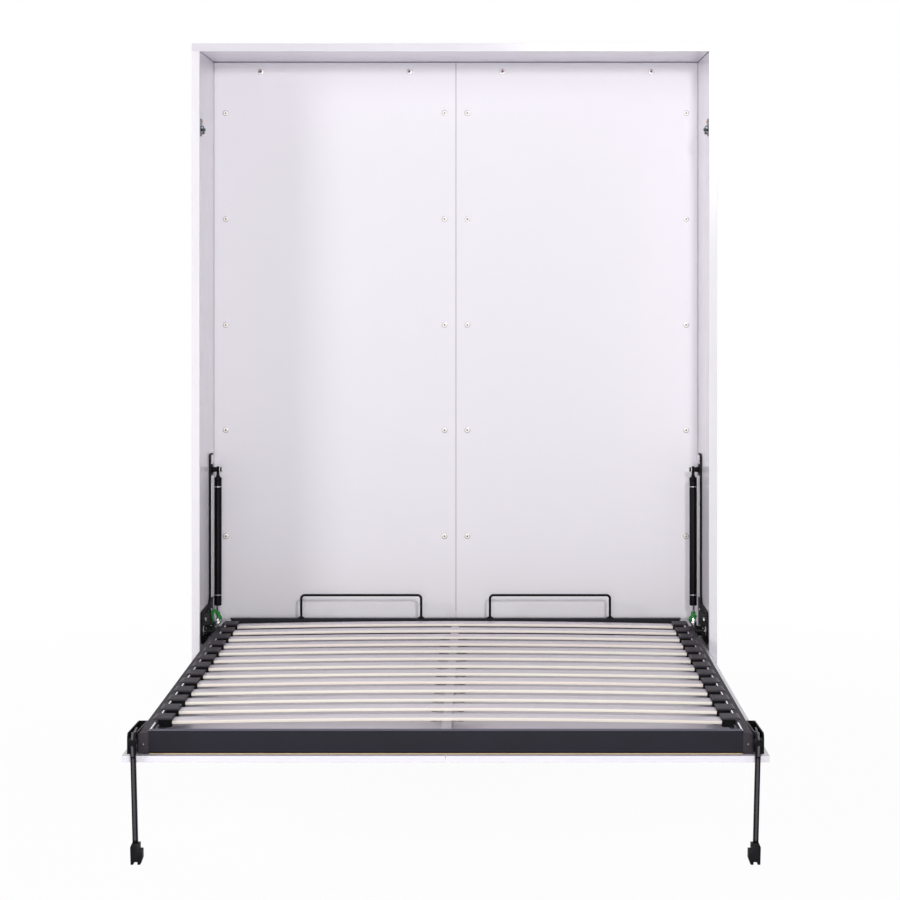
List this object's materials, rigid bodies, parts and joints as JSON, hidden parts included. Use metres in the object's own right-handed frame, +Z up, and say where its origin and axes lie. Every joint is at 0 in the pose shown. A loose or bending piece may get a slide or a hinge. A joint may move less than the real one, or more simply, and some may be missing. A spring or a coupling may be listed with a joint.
{
  "type": "wall bed",
  "caption": "Fold-down wall bed: slatted steel frame on a white panelled door, pivoted in an open cabinet with gas springs and folding legs.",
  "frame": {"origin": "on the floor, under the middle of the open bed with its cabinet", "axes": "+X to the right seen from the foot of the bed, +Y from the foot to the wall, +Z up"},
  "size_m": [1.661, 2.237, 2.181],
  "materials": {
    "white_board": "white melamine, satin",
    "batten_board": "bare board",
    "slat_wood": "pale laminated beech",
    "rail_steel": "charcoal powder coat",
    "black_steel": "black powder coat",
    "beam_steel": "light grey powder coat",
    "bright_steel": "zinc plated",
    "chrome_rod": "polished",
    "grey_plastic": "moulded",
    "black_plastic": "moulded",
    "green_strap": "woven"
  },
  "bodies": {
    "cabinet": {"side_panel_right": "white_board", "side_panel_left": "white_board", "top_board": "white_board", "side_batten_right": "batten_board", "side_batten_left": "batten_board", "middle_batten": "batten_board", "bottom_batten": "batten_board", "top_batten": "batten_board", "back_panel_right": "white_board", "back_panel_left": "white_board", "mechanism_plate_right": "black_steel", "mechanism_plate_left": "black_steel", "pivot_pin_right": "bright_steel", "pivot_pin_left": "bright_steel", "spring_stud_right": "bright_steel", "spring_stud_left": "bright_steel", "catch_plate_right": "bright_steel", "catch_plate_left": "bright_steel"},
    "bed": {"side_rail_right": "rail_steel", "side_rail_left": "rail_steel", "foot_rail": "rail_steel", "head_rail": "rail_steel", "middle_beam": "beam_steel", "slat_01": "slat_wood", "slat_02": "slat_wood", "slat_03": "slat_wood", "slat_04": "slat_wood", "slat_05": "slat_wood", "slat_06": "slat_wood", "slat_07": "slat_wood", "slat_08": "slat_wood", "slat_09": "slat_wood", "slat_10": "slat_wood", "slat_11": "slat_wood", "slat_12": "slat_wood", "slat_13": "slat_wood", "slat_holders_right": "grey_plastic", "slat_holders_left": "grey_plastic", "door_panel_right": "white_board", "door_panel_left": "white_board", "mattress_hoop_right": "black_steel", "mattress_hoop_left": "black_steel", "hub_plate_right": "black_steel", "hub_plate_left": "black_steel", "leg_bracket_right": "black_steel", "leg_bracket_left": "black_steel", "striker_right": "bright_steel", "striker_left": "bright_steel"},
    "spring_cylinder_right": {"gas_cylinder_right": "black_steel"},
    "spring_cylinder_left": {"gas_cylinder_left": "black_steel"},
    "spring_rod_right": {"gas_rod_right": "chrome_rod", "spring_strap_right": "green_strap"},
    "spring_rod_left": {"gas_rod_left": "chrome_rod", "spring_strap_left": "green_strap"},
    "hook_right": {"catch_hook_right": "black_steel"},
    "hook_left": {"catch_hook_left": "black_steel"},
    "leg_assembly_right": {"leg_right": "black_steel", "foot_right": "black_plastic"},
    "leg_assembly_left": {"leg_left": "black_steel", "foot_left": "black_plastic"}
  },
  "joints": [
    {"name": "bed_lift", "type": "hinge", "parent": "cabinet", "child": "bed", "pos_m": [0, 0.72, 0.3145], "axis": [-1, 0, 0], "range_deg": [0, 90]},
    {"name": "leg_left_fold", "type": "hinge", "parent": "bed", "child": "leg_assembly_left", "pos_m": [-0.7725, -1.1065, 0.3], "axis": [0, -1, 0], "range_deg": [0, 90]},
    {"name": "leg_right_fold", "type": "hinge", "parent": "bed", "child": "leg_assembly_right", "pos_m": [0.7725, -1.1065, 0.3], "axis": [0, 1, 0], "range_deg": [0, 90]},
    {"name": "spring_left_swing", "type": "hinge", "parent": "cabinet", "child": "spring_cylinder_left", "pos_m": [-0.78, 0.9655, 0.809], "axis": [-1, 0, 0], "range_deg": [0, 19.68]},
    {"name": "spring_left_stroke", "type": "slide", "parent": "spring_cylinder_left", "child": "spring_rod_left", "axis": [0, -0.0077, -1], "range_m": [0, 0.2661]},
    {"name": "spring_right_swing", "type": "hinge", "parent": "cabinet", "child": "spring_cylinder_right", "pos_m": [0.78, 0.9655, 0.809], "axis": [-1, 0, 0], "range_deg": [0, 19.68]},
    {"name": "spring_right_stroke", "type": "slide", "parent": "spring_cylinder_right", "child": "spring_rod_right", "axis": [0, -0.0077, -1], "range_m": [0, 0.2661]},
    {"name": "hook_left_turn", "type": "hinge", "parent": "cabinet", "child": "hook_left", "pos_m": [-0.796, 0.6935, 1.91], "axis": [-1, 0, 0], "range_deg": [0, 80]},
    {"name": "hook_right_turn", "type": "hinge", "parent": "cabinet", "child": "hook_right", "pos_m": [0.796, 0.6935, 1.91], "axis": [-1, 0, 0], "range_deg": [0, 80]}
  ],
  "couplings": [
    {"joint": "spring_left_swing", "follows": "bed_lift", "ratio": 0.21816},
    {"joint": "spring_left_stroke", "follows": "bed_lift", "m_per_rad": 0.16909},
    {"joint": "spring_right_swing", "follows": "bed_lift", "ratio": 0.21816},
    {"joint": "spring_right_stroke", "follows": "bed_lift", "m_per_rad": 0.16909}
  ]
}
